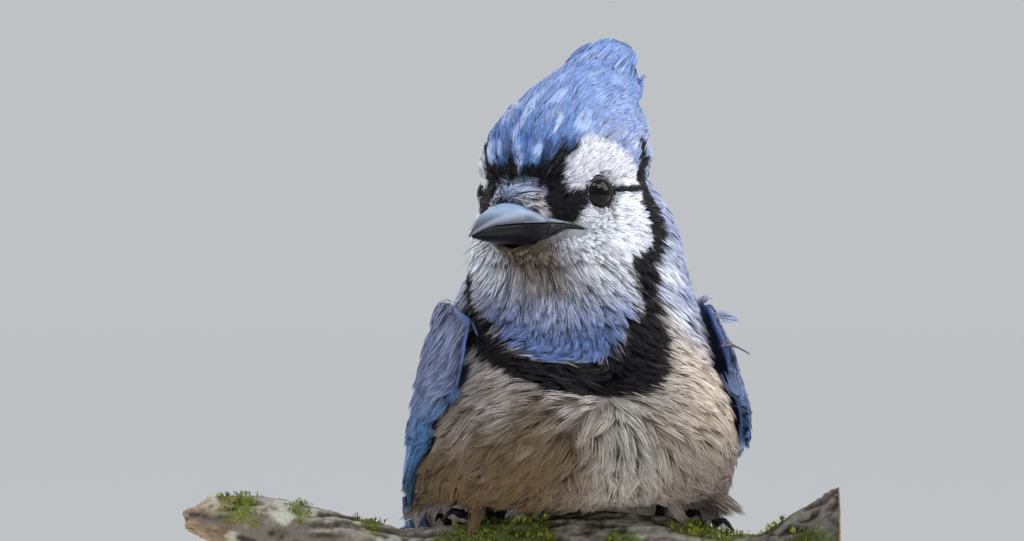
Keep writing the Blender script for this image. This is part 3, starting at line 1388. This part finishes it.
class FeatherVane(SharedEffect):
    """A flight feather's shaft, barbs, dark bars and white tip, on its vane map."""

    name = "feather_vane"
    colours = ("Color", "Inner Color", "Bar Color", "Tip Color")
    values = ("Bars", "Bar Depth", "Tip")
    shaft_at = 0.45
    barbs = 330.0

    @staticmethod
    def draw(steps: NodeSteps, given: bpy.types.NodeOutputs) -> tuple[Value, Value]:
        """The outer and inner web, then bars, tip and shaft over them."""
        uv = steps.nodes.new("ShaderNodeUVMap")
        uv.uv_map = Vanes.map_name
        split = steps.nodes.new("ShaderNodeSeparateXYZ")
        steps.feed(split.inputs[0], uv.outputs["UV"])
        across, along = split.outputs[0], split.outputs[1]
        off = steps.maths("ABSOLUTE", steps.maths("SUBTRACT", across, FeatherVane.shaft_at))
        slant = steps.maths("MULTIPLY_ADD", off, -0.12, along)
        ripple = steps.maths("SINE", steps.maths("MULTIPLY", slant, FeatherVane.barbs))
        bent = steps.maths("MULTIPLY_ADD", steps.noise(uv.outputs["UV"], 9.0), 0.03, slant)
        turns = steps.maths("MULTIPLY", steps.maths("MULTIPLY", bent, given["Bars"]), math.tau)
        bar = steps.step(steps.maths("SINE", turns), 0.55, 0.75)
        bar = steps.maths("MULTIPLY", bar, given["Bar Depth"])
        bar = steps.maths("MULTIPLY", bar, steps.step(off, 0.44, 0.36))
        colour = steps.blend(given["Color"], given["Inner Color"], steps.step(across, 0.47, 0.6))
        colour = steps.blend(colour, given["Bar Color"], bar)
        tip = steps.step(steps.maths("SUBTRACT", bent, given["Tip"]), 0.0, 0.015)
        colour = steps.blend(colour, given["Tip Color"], tip)
        shaft = steps.step(off, 0.022, 0.012)
        colour = steps.blend(colour, given["Bar Color"], steps.maths("MULTIPLY", shaft, 0.75))
        colour = steps.scaled(colour, steps.maths("MULTIPLY_ADD", ripple, 0.1, 0.95))
        return colour, steps.maths("MULTIPLY_ADD", ripple, 0.25, steps.maths("MULTIPLY", shaft, 2.0))


@dataclass(frozen=True)
class VaneFinish:
    """The look of one kind of flight feather."""

    name: str
    colour: Colour
    inner: Colour
    bars: float = 0.0
    bar_depth: float = 0.0
    tip: float = 1.2
    tip_colour: Colour = (236, 238, 242)
    relief: float = 0.08

    @cache
    def make(self) -> bpy.types.Material:
        """Builds the material once.

        Returns:
            The material that draws the feather on its vane map.
        """
        material, shader = blank_material(self.name, 0.42, 0.35)
        steps = NodeSteps(material.node_tree)
        colours = zip(FeatherVane.colours, (self.colour, self.inner, BAR_BLACK, self.tip_colour))
        given = {label: (*rgb(*colour), 1.0) for label, colour in colours}
        given.update(zip(FeatherVane.values, (self.bars, self.bar_depth, self.tip)))
        vane = steps.effect(FeatherVane, given)
        steps.feed(shader.inputs["Base Color"], vane["Color"])
        steps.relief(shader, vane["Height"], self.relief)
        return material


class Vanes:
    """Flight feathers and coverts as thin bent plates."""

    columns = 4
    rows = 14
    map_name = "vane"

    def __init__(self) -> None:
        """Starts with no feathers."""
        self.bm = bmesh.new()
        self.map = self.bm.loops.layers.uv.new(self.map_name)

    def add(self, places: Array, finish: int, turned_over: bool = False) -> None:
        """Adds a feather.

        Args:
            places: Its grid of places, one row along for each row of the array.
            finish: The number of its finish.
            turned_over: Whether its outer edge is the last column and not the first.
        """
        made = bmesh.ops.create_grid(self.bm, x_segments=self.columns, y_segments=self.rows, size=0.5)
        spots = {}
        row_places = to_row(places)
        for vert in made["verts"]:
            across, along = vert.co.x + 0.5, vert.co.y + 0.5
            spots[vert] = (1.0 - across if turned_over else across, along)
            vert.co = row_places[round(along * self.rows), round(across * self.columns)]
        for face in {face for vert in made["verts"] for face in vert.link_faces}:
            face.material_index = finish
            for loop in face.loops:
                loop[self.map].uv = spots[loop.vert]

    def piece(self, name: str, finishes: tuple[VaneFinish, ...], thickness: float) -> bpy.types.Object:
        """Joins the feathers into one shown piece with some thickness."""
        mesh = from_bmesh(name, self.bm)
        piece = shown(name, mesh, finishes[0])
        for finish in finishes[1:]:
            mesh.materials.append(finish.make())
        solid = piece.modifiers.new("feather_thickness", "SOLIDIFY")
        solid.thickness = thickness * MM
        solid.offset = -1.0
        return piece

    @staticmethod
    def outline(share: Array, blunt: float) -> Array:
        """A feather's half width along its length, from quill to rounded tip."""
        quill = 0.35 + 0.65 * smooth(0.0, 0.3, share)
        end = np.clip((share - (1.0 - blunt)) / blunt, 0.0, 1.0)
        return quill * np.sqrt(np.maximum(1.0 - end**2.4, 0.0004))


@dataclass(frozen=True)
class WingRow:
    """One row of feathers on the folded wing, from the lower edge up.

    Each end is how far along the wing it is and how high over the wing's line.
    """

    count: int
    roots: Pairs
    tips: Pairs
    width: float
    level: float
    finish: int
    blunt: float = 0.25


@dataclass
class Wing:
    """A folded wing: a base plate with rows of feathers over it."""

    wrist: tuple[float, float, float] = (0.0, -17.0, 38.0)
    slope: float = math.radians(42.0)
    length: float = 134.0
    thickness: float = 0.22
    base_sunk: float = 0.45
    reach: float = 80.0
    plate_from_middle: float = 22.0
    rows: tuple[WingRow, ...] = (
        WingRow(8, ((0.2, -3.0), (0.24, 0.0), (0.3, 6.0)),
                ((0.8, -5.0), (0.97, -0.4), (1.0, 1.4), (0.84, 4.6)), 7.5, -0.7, 0, 0.2),
        WingRow(7, ((0.16, 2.0), (0.2, 14.0), (0.22, 22.0)), ((0.82, 4.6), (0.66, 8.0), (0.5, 16.0)),
                9.0, -0.45, 1),
        WingRow(3, ((0.18, 24.0), (0.18, 28.0)), ((0.47, 19.5), (0.36, 27.0)), 11.0, -0.25, 1, 0.4),
        WingRow(9, ((0.1, -5.0), (0.1, 10.0), (0.12, 26.0)), ((0.36, -1.0), (0.35, 12.0), (0.29, 31.5)),
                7.0, -0.1, 2, 0.3),
        WingRow(9, ((0.05, -5.0), (0.06, 8.0), (0.1, 24.0)), ((0.22, -4.0), (0.22, 10.0), (0.2, 29.5)),
                6.5, 0.05, 3, 0.5),
    )
    finishes: tuple[VaneFinish, ...] = (
        VaneFinish("primary_feather", (60, 110, 150), (40, 48, 62)),
        VaneFinish("secondary_feather", (66, 116, 184), (58, 76, 118), 9.0, 0.95, 0.93),
        VaneFinish("greater_covert", (80, 128, 194), (80, 108, 168), 5.0, 0.9, 0.86),
        VaneFinish("small_covert", (82, 104, 156), (74, 94, 144)),
    )
    soft_end: float = 0.17
    soft_facing: float = -0.6
    soft_coat: Coat = Coat("shoulder_feathers", 1.5, 8.0, 1.2, 1.3, 0.24, 60000, point=0.35, loose=7,
                           root_shade=0.6, even=0.5)

    def build(self, side: float, label: str, node: bpy.types.Object, plumage: Plumage) -> None:
        """Makes one wing.

        Args:
            side: 1 for the bird's left.
            label: The side's name.
            node: The CAD wing, which the wing's base replaces.
            plumage: The body's plumage.
        """
        tree = surface_tree(node.data)
        vanes = Vanes()
        for row in self.rows:
            for i in range(row.count):
                share = i / (row.count - 1)
                root, tip = self.along(row.roots, share), self.along(row.tips, share)
                vanes.add(self.feather(side, tree, row, root, tip, i), row.finish, side < 0)
        vanes.piece("wing_feathers_" + label, self.finishes, self.thickness)
        mesh = from_bmesh(node.name + "_base", merged(node, -self.base_sunk))
        set_tone(mesh, rgb(72, 94, 144))
        base = shown(node.name + "_base", mesh, PLUMAGE)
        unwrap(base)
        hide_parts(node.name)
        self.soften(side, label, base, plumage)

    def soften(self, side: float, label: str, base: bpy.types.Object, plumage: Plumage) -> None:
        """Lays the soft small coverts over the front of the wing.

        Args:
            side: 1 for the bird's left.
            label: The side's name.
            base: The wing's base, with its bake map.
            plumage: The body's plumage, which sets how they lie.
        """
        ground = Ground(base.data)
        middles, facing = ground.faces()
        outward = PIVOT - turn(PIVOT + (-side, 0.0, 0.0), BODY_YAW)
        near = (self.share_back(middles) < self.soft_end) & (facing @ outward > self.soft_facing)
        roots, normals, uv = ground.scatter(np.where(near, self.soft_coat.spacing, 0.0), plumage.rng)
        lines, outs = plumage.lay(self.soft_coat, roots, normals)
        mesh = Barbs(self.soft_coat, self, plumage.rng).mesh(lines, outs, uv)
        shown("shoulder_feathers_" + label, mesh, PLUMAGE)

    def share_back(self, points: Array) -> Array:
        """How far back along the wing the points are, from 0 at its front."""
        level = turn(points, -BODY_YAW) - self.wrist
        return (level[:, 1] * math.cos(self.slope) - level[:, 2] * math.sin(self.slope)) / self.length

    def colours(self, points: Array, normals: Array, jitter: Array) -> Array:
        """The small coverts' colours: the breast's at the front edge, then grey-blue, and bluer low down."""
        patchy = grain(points, 0.3, 51.0)
        low = smooth(34.0, 12.0, points[:, 2] + patchy * 10.0)
        blue = mix(rgb(132, 142, 176), rgb(66, 112, 158), low)
        blue = mix(blue, rgb(50, 66, 104), smooth(0.1, 0.4, patchy) * 0.5)
        share = self.share_back(points) + jitter * 0.008 + patchy * 0.03
        return mix(rgb(168, 162, 164), blue, smooth(-0.02, 0.015, share))

    @staticmethod
    def along(ends: Pairs, share: float) -> Array:
        """A place between a row's named ends."""
        table = np.array(ends)
        at = np.linspace(0.0, 1.0, len(table))
        return np.array([np.interp(share, at, table[:, k]) for k in (0, 1)])

    def feather(self, side: float, tree: BVHTree, row: WingRow, root: Array, tip: Array,
                number: int) -> Array:
        """One feather's grid of places on the wing's outer face.

        Args:
            side: 1 for the bird's left.
            tree: The CAD wing's surface.
            row: The row that it belongs to.
            root: How far along and how high its quill is.
            tip: How far along and how high its tip is.
            number: Its place in the row, each lying over the one before.

        Returns:
            The places, row by row from the quill.
        """
        t = np.linspace(0.0, 1.0, Vanes.rows + 1)
        u = np.linspace(-1.0, 1.0, Vanes.columns + 1)
        scale = np.array((self.length, 1.0))
        way = (tip - root) * scale
        reach = np.linalg.norm(way)
        way = way / reach
        over = np.array((-way[1], way[0]))
        half = Vanes.outline(t, row.blunt) * row.width / 2.0
        flat = root * scale + t[:, None] * reach * way
        spots = flat[:, None, :] + (half[:, None] * u)[..., None] * over
        places = np.empty((*spots.shape[:2], 3))
        back = np.array((0.0, math.cos(self.slope), -math.sin(self.slope)))
        upward = np.array((0.0, math.sin(self.slope), math.cos(self.slope)))
        inward = turn(PIVOT + (-side, 0.0, 0.0), BODY_YAW) - PIVOT
        for i, j in np.ndindex(len(t), len(u)):
            point = np.array(self.wrist) + back * spots[i, j, 0] + upward * spots[i, j, 1]
            point[0] = PIVOT[0] + side * self.reach
            start = turn(point, BODY_YAW)
            hit = tree.ray_cast(start, inward)[0]
            if hit is None:
                hit = tree.find_nearest(start + inward * (self.reach - self.plate_from_middle))[0]
            arch = 0.18 * (1.0 - u[j] ** 2) + 0.15 * t[i] - 0.15
            level = row.level - u[j] * 0.22 + 0.02 * number + arch
            places[i, j] = np.array(hit) - inward * level
        return places if side > 0 else places[:, ::-1]


@dataclass
class Tail:
    """The closed tail, a stack of nine long feathers."""

    root: tuple[float, float, float] = (0.0, 74.2, -44.8)
    slope: float = math.radians(46.0)
    length: float = 94.0
    root_width: float = 17.0
    end_width: float = 36.0
    arch: float = 2.6
    rounding: float = 13.0
    count: int = 9
    tucked: float = -0.12
    blunt: float = 0.1
    overlap: float = 1.5
    middle_share: float = 0.15
    thickness: float = 0.3
    finishes: tuple[VaneFinish, ...] = (
        VaneFinish("middle_tail_feather", (68, 118, 186), (64, 110, 178), 14.0, 0.95),
        VaneFinish("outer_tail_feather", (74, 116, 176), (70, 84, 112), 14.0, 0.85, 0.86),
    )

    def build(self) -> None:
        """Makes the tail, which replaces the CAD one."""
        vanes = Vanes()
        order = sorted(range(self.count), key=lambda k: -abs(k - (self.count - 1) / 2))
        t = np.linspace(self.tucked, 1.0, Vanes.rows + 1)
        u = np.linspace(-1.0, 1.0, Vanes.columns + 1)
        share = np.linspace(0.0, 1.0, Vanes.rows + 1)
        half = Vanes.outline(share, self.blunt) * self.overlap / self.count
        for k in order:
            middle = (k + 0.5) / self.count * 2.0 - 1.0
            across = middle + half[:, None] * u
            length = self.length - self.rounding * middle**2
            level = 0.75 - 1.5 * abs(middle) + 0.12 * np.sign(middle) * u * -1.0
            vanes.add(self.places(t[:, None], across, length, level), int(abs(middle) >= self.middle_share))
        piece = vanes.piece("tail_feathers", self.finishes, self.thickness)
        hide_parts("tail")

    def places(self, share: Array, across: Array, length: float, level: Array) -> Array:
        """Places on the arched tail."""
        along = np.array((0.0, math.cos(self.slope), -math.sin(self.slope)))
        raised = np.array((0.0, math.sin(self.slope), math.cos(self.slope)))
        width = self.root_width + (self.end_width - self.root_width) * np.maximum(share, 0.0)
        down = self.arch * across**2
        out = np.array(self.root) + along * np.broadcast_to(share * length, across.shape)[..., None]
        out = out + raised * (level - down)[..., None]
        out[..., 0] = PIVOT[0] + across * width / 2.0
        return turn(out, BODY_YAW)


@dataclass
class Perch:
    """The cut length of mossy branch."""

    voxel: float = 0.62
    smoothing: int = 4
    plates: float = 0.9
    fine: float = 0.22
    splinters: float = 2.4
    broken_end: tuple[float, float] = (-66.0, -80.0)
    sawn_end: tuple[float, float] = (55.6, 55.9)
    bark: Colour = (110, 102, 94)
    pale: Colour = (176, 170, 162)
    dark: Colour = (58, 52, 47)
    lichen: Colour = (186, 190, 176)
    moss: Colour = (110, 126, 44)
    wood: Colour = (168, 142, 112)
    moss_spacing: float = 1.0
    moss_length: tuple[float, float] = (0.7, 2.1)
    moss_coat: Coat = Coat("moss", 1.0, 1.6, 0.6, 0.7, 0.22, 40000, point=-0.6, wave=0.15, dark_share=0.15,
                           even=0.6)

    def build(self, node: bpy.types.Object, rng: np.random.Generator) -> None:
        """Makes the branch with its bark, its ends and its moss.

        Args:
            node: The CAD branch, which it replaces.
            rng: Where the chance comes from.
        """
        mesh = one_surface("perch_bark", merged(node), self.voxel, self.smoothing)
        points, normals, _ = mesh_arrays(mesh)
        ridges = 1.0 - np.abs(grain(points * (0.09, 0.34, 0.34), 1.0, 3.0)) * 3.2
        plates = grain(points * (0.05, 0.15, 0.15), 1.0, 9.0)
        rough = grain(points, 0.9, 5.0)
        end = smooth(*self.broken_end, points[:, 0])
        cut = smooth(*self.sawn_end, points[:, 0]) * (normals[:, 0] > 0.7)
        shift = (ridges * self.plates * 0.45 + plates * 1.1 - 0.75 + rough * self.fine) * (1.0 - cut)
        splinter = grain(points * (0.06, 0.9, 0.9), 1.0, 15.0)
        shift = shift - end * np.maximum(splinter, 0.0) * self.splinters
        move_points(mesh, points + normals * shift[:, None])
        set_tone(mesh, self.tones(points, normals, ridges, rough, end, cut))
        finish = Finish("bark", roughness=0.85, specular=0.15, grain_scale=1300.0, grain_depth=0.7,
                        relief=0.25)
        perch = shown("perch_bark", mesh, finish)
        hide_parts(node.name)
        unwrap(perch)
        self.grow_moss(perch, rng)

    def tones(self, points: Array, normals: Array, ridges: Array, rough: Array, end: Array,
              cut: Array) -> Array:
        """The bark's colours.

        Args:
            points: Places in the bird's frame.
            normals: The outward ways there.
            ridges: How high the bark's ridges stand.
            rough: Finer roughness, about 0.
            end: How near each place is to the broken end.
            cut: Which places are on the sawn end.

        Returns:
            Linear colours, one row for each point.
        """
        tone = mix(rgb(*self.dark), rgb(*self.bark), smooth(-0.9, 0.35, ridges + rough * 0.9))
        worn = smooth(0.1, 0.9, ridges + rough) * smooth(0.0, 0.8, normals[:, 2])
        tone = mix(tone, rgb(*self.pale), worn * 0.7)
        patch = grain(points, 0.11, 21.0)
        spots = grain(points, 0.33, 27.0)
        tone = mix(tone, rgb(*self.lichen), smooth(0.12, 0.3, patch + spots * 0.5) * 0.75)
        tone = mix(tone, rgb(*self.moss) * 0.7, self.mossy(points, normals) * 0.8)
        tone = tone * (1.0 - 0.6 * smooth(8.0, 36.0, points[:, 0]))[:, None]
        bare = end * smooth(-0.1, 0.4, spots + 0.2) * 0.7
        tone = mix(tone, rgb(*self.wood), np.clip(bare, 0.0, 1.0))
        rings = 0.88 + 0.12 * np.sin(np.hypot(points[:, 1], points[:, 2]) * 7.0 + rough * 3.0)
        return mix(tone, rgb(*self.wood) * rings[:, None], cut)

    @staticmethod
    def mossy(points: Array, normals: Array) -> Array:
        """How much moss covers each place."""
        return smooth(0.1, 0.28, grain(points, 0.085, 33.0)) * smooth(-0.3, 0.3, normals[:, 2])

    def colours(self, points: Array, normals: Array, jitter: Array) -> Array:
        """The moss's colours, from old brown-green to fresh yellow-green."""
        share = np.clip(grain(points, 0.3, 41.0) + 0.5 + jitter * 0.4, 0.0, 1.0)
        return mix(rgb(70, 78, 28), rgb(158, 168, 62), share)

    def grow_moss(self, perch: bpy.types.Object, rng: np.random.Generator) -> None:
        """Short upright tufts of moss on the bark."""
        ground = Ground(perch.data)
        mossy = self.mossy(*ground.faces()) > 0.35
        roots, normals, uv = ground.scatter(np.where(mossy, self.moss_spacing, 0.0), rng)
        lean = unit(normals * 0.9 + rng.normal(0.0, 0.45, roots.shape))
        length = rng.uniform(*self.moss_length, (len(roots), 1))
        t = np.linspace(0.0, 1.0, Plumage.knots + 1)
        lines = roots[:, None, :] + lean[:, None, :] * (t[:, None] * length[:, None, :])
        outs = unit(np.cross(lean, rng.normal(0.0, 1.0, lean.shape)))
        outs = np.repeat(outs[:, None, :], len(t), axis=1)
        mesh = Barbs(self.moss_coat, self, rng).mesh(lines, outs, uv)
        shown("perch_moss", mesh, Finish("moss", roughness=0.8, specular=0.15))


@dataclass
class Bristles:
    """The stiff dark hairs beside the gape, and the fine ones that fan out over the chin."""

    count: int = 22
    length: float = 9.5
    sag: float = 0.06
    coat: Coat = Coat("bristles", 1.0, 8.0, 0.0, 0.02, 0.1, 8000, steps=4, point=0.9, wave=0.02, even=0.1)
    chin_count: int = 150
    chin_coat: Coat = Coat("chin_hairs", 1.0, 11.0, 2.3, 0.02, 0.1, 6000, loose=6)

    def build(self, rng: np.random.Generator, plumage: Plumage) -> None:
        """Makes the hairs.

        Args:
            rng: Where the chance comes from.
            plumage: The plumage that the chin's hairs lie on.
        """
        ground = plumage.ground
        side, up = plumage.markings.chart(ground.points)
        ahead, _, _ = head_frame(ground.points)
        chin = np.flatnonzero((side < 58.0) & (up < -10.0) & (up > -22.0) & (ahead > 1.0))
        chosen = rng.choice(chin, self.chin_count, replace=False)
        laid, faced = plumage.lay(self.chin_coat, ground.points[chosen], ground.normals[chosen])
        lines = [self.hair(side, rng) for side in (-1.0, 1.0) for _ in range(self.count)]
        outs = np.broadcast_to(head_way(0.0, 0.2, 1.0), (len(lines), *laid.shape[1:]))
        outs = np.concatenate((outs, faced))
        lines = np.concatenate((np.array(lines), laid))
        mesh = Barbs(self.coat, self, rng).mesh(lines, outs, np.full((len(lines), 2), 0.5))
        shown("gape_bristles", mesh, Finish("bristle", roughness=0.4, specular=0.4))

    def hair(self, side: float, rng: np.random.Generator) -> Array:
        """One stiff hair's middle line, out of the gape's side and a little down."""
        ahead, up = rng.uniform(4.0, 12.5), rng.uniform(-11.5, -4.5)
        root = head_place(ahead, side * np.interp(ahead, (1.4, 12.5), (9.2, 6.3)), up)
        way = unit(head_way(1.0, side * rng.uniform(0.15, 0.75), rng.uniform(-0.75, 0.05)))
        t = np.linspace(0.0, 1.0, Plumage.knots + 1)[:, None] * self.length * rng.uniform(0.5, 1.1)
        return root + way * t + head_way(0.1, 0.0, -0.25) * t * t * self.sag

    def colours(self, points: Array, normals: Array, jitter: Array) -> Array:
        """All bristles are near black."""
        return np.tile(rgb(26, 22, 22), (len(points), 1))


@dataclass
class Plain:
    """The pieces that keep their CAD shape and only get a finish."""

    kinds: tuple[tuple[str, Finish, str], ...] = (
        ("leg_", Finish("leg_scales", 0.45, 0.5, (44, 42, 46), grain_scale=1500.0, grain_depth=0.8,
                        relief=0.15), "scaly_skin"),
        ("claw_", Finish("claw_horn", 0.25, 0.5, (20, 19, 20), grain_scale=700.0, grain_depth=0.5),
         "claw_horn"),
        ("stand_base", Finish("stand_wood", 0.38, 0.4, (96, 66, 44), coat=0.3, grain_scale=60.0,
                              grain_depth=0.5), "stand_wood"),
        ("stand_rod", Finish("stand_steel", 0.3, 0.5, (170, 172, 176), metallic=1.0, grain_scale=500.0,
                             grain_depth=0.1), "stand_steel"),
    )

    def dress(self, nodes: dict[str, bpy.types.Object]) -> None:
        """Gives the legs, claws and stand their finishes."""
        for start, finish, slot in self.kinds:
            for name, node in nodes.items():
                if name.startswith(start):
                    node.data.materials.clear()
                    node.data.materials.append(finish.make())
                    LOG.info("%s: dressed as %s", name, finish.name)


@dataclass
class Studio:
    """Floor, lights and camera, in the row's metres save for the framing."""

    lens: float = 500.0
    sensor: float = 36.0
    frame_width: float = 215.04
    aim_x: float = -12.8
    aim_z: float = 52.8
    lit: tuple[float, float, float] = (0.0, -0.014, 0.19)
    floor_radius: float = 40.0
    floor_colour: tuple[float, ...] = (0.985, 0.985, 0.985, 1.0)
    air_colour: tuple[float, ...] = (0.74, 0.77, 0.8, 1.0)
    air_strength: float = 0.7

    def build(self) -> None:
        """Makes the studio round the model."""
        bm = bmesh.new()
        bmesh.ops.create_circle(bm, cap_ends=True, segments=96, radius=self.floor_radius)
        floor_mesh = from_bmesh("studio_floor", bm)
        floor = bpy.data.objects.new("studio_floor", floor_mesh)
        bpy.context.scene.collection.objects.link(floor)
        material, shader = blank_material("studio_floor", 0.9, 0.1)
        shader.inputs["Base Color"].default_value = self.floor_colour
        floor_mesh.materials.append(material)
        world = bpy.data.worlds.new("studio_air")
        world.use_nodes = True
        air = world.node_tree.nodes["Background"].inputs
        air["Color"].default_value = self.air_colour
        air["Strength"].default_value = self.air_strength
        bpy.context.scene.world = world
        self.lamp("key_light", (1.3, -1.1, 2.1), 1.0, 23.0, (1.0, 0.97, 0.93))
        self.lamp("window_light", (0.1, -0.85, 1.9), 0.6, 8.0, (1.0, 0.98, 0.95))
        self.lamp("side_light", (1.9, 0.1, 1.6), 1.6, 34.0, (1.0, 1.0, 1.0))
        self.lamp("fill_light", (-1.8, -2.0, 1.1), 1.6, 6.0, (0.92, 0.96, 1.0))
        self.lamp("rim_light", (-1.3, 1.6, 1.6), 0.8, 24.0, (1.0, 0.98, 0.94))
        self.camera()

    def lamp(self, name: str, place: tuple[float, ...], size: float, power: float, tint: Colour) -> None:
        """A soft light aimed at the bird."""
        data = bpy.data.lights.new(name, "AREA")
        data.shape = "RECTANGLE"
        data.size = size
        data.size_y = size
        data.energy = power
        data.color = tint
        lamp = bpy.data.objects.new(name, data)
        bpy.context.scene.collection.objects.link(lamp)
        aim = Vector(self.lit) - Vector(place)
        lamp.matrix_world = Matrix.Translation(place) @ aim.to_track_quat("-Z", "Y").to_matrix().to_4x4()

    def camera(self) -> None:
        """Looks level along the row's length, as the photograph does, with its framing at the eyes."""
        data = bpy.data.cameras.new("camera")
        data.lens = self.lens
        data.sensor_width = self.sensor
        data.clip_end = 50.0
        camera = bpy.data.objects.new("camera", data)
        bpy.context.scene.collection.objects.link(camera)
        distance = self.frame_width * self.lens / self.sensor
        place = to_row(np.array((self.aim_x, -distance, self.aim_z)))
        camera.matrix_world = Matrix.Translation(place) @ Matrix.Rotation(math.pi / 2, 4, "X")
        bpy.context.scene.camera = camera
        bpy.context.scene.view_settings.view_transform = "Standard"


def main() -> None:
    """Builds the model piece by piece."""
    logging.basicConfig(level=logging.INFO, format="%(message)s")
    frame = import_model()
    nodes = frame["nodes"]
    markings = Markings()
    skin = Skin().build(nodes, markings).data
    bills = [piece.data for piece in Bill().build(surface_tree(skin))]
    for side, label in SIDES:
        Eye().build(side, "eye_" + label)
    wings = [nodes["wing_" + label].data for _, label in SIDES]
    ground = Ground(skin, *wings)
    wing_trees = [surface_tree(wing) for wing in wings]
    plumage = Plumage(ground, Ground(skin, *bills), markings, wing_trees, surface_tree(*bills))
    plumage.build()
    Plumes(ground, markings, plumage.rng).build()
    for side, label in SIDES:
        Wing().build(side, label, nodes["wing_" + label], plumage)
    Tail().build()
    rng = np.random.default_rng(5)
    Bristles().build(rng, plumage)
    Perch().build(nodes["perch_branch"], rng)
    Plain().dress(nodes)
    Studio().build()


if __name__ == "__main__":
    main()
